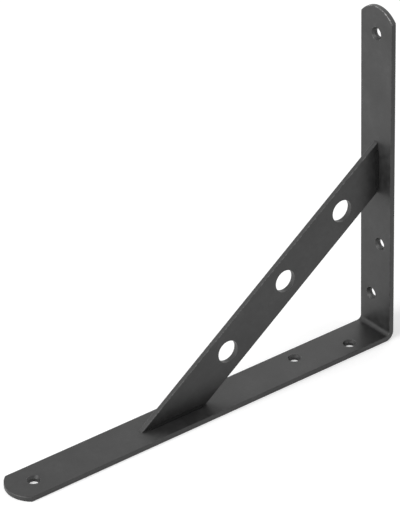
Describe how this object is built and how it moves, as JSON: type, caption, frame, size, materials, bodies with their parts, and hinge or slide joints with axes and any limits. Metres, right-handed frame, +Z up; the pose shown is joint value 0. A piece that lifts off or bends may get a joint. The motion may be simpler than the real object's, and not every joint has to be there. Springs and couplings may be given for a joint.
{
  "type": "corner bracket",
  "caption": "Black painted steel corner bracket: a flat bar bent to an L with arched, countersunk ends, braced by a diagonal flat bar on edge with large round holes.",
  "frame": {"origin": "middle of the footprint, on the plane that the lying arm rests on", "axes": "+X along the lying arm towards the heel and out of the wall face, +Y across the bar, +Z up along the upright arm"},
  "size_m": [0.25, 0.025, 0.2],
  "materials": {
    "black_paint": "matte"
  },
  "bodies": {
    "root": {"bent_bar": "black_paint", "brace": "black_paint", "weld_base_near": "black_paint", "weld_base_far": "black_paint", "weld_wall_near": "black_paint", "weld_wall_far": "black_paint"}
  },
  "joints": []
}
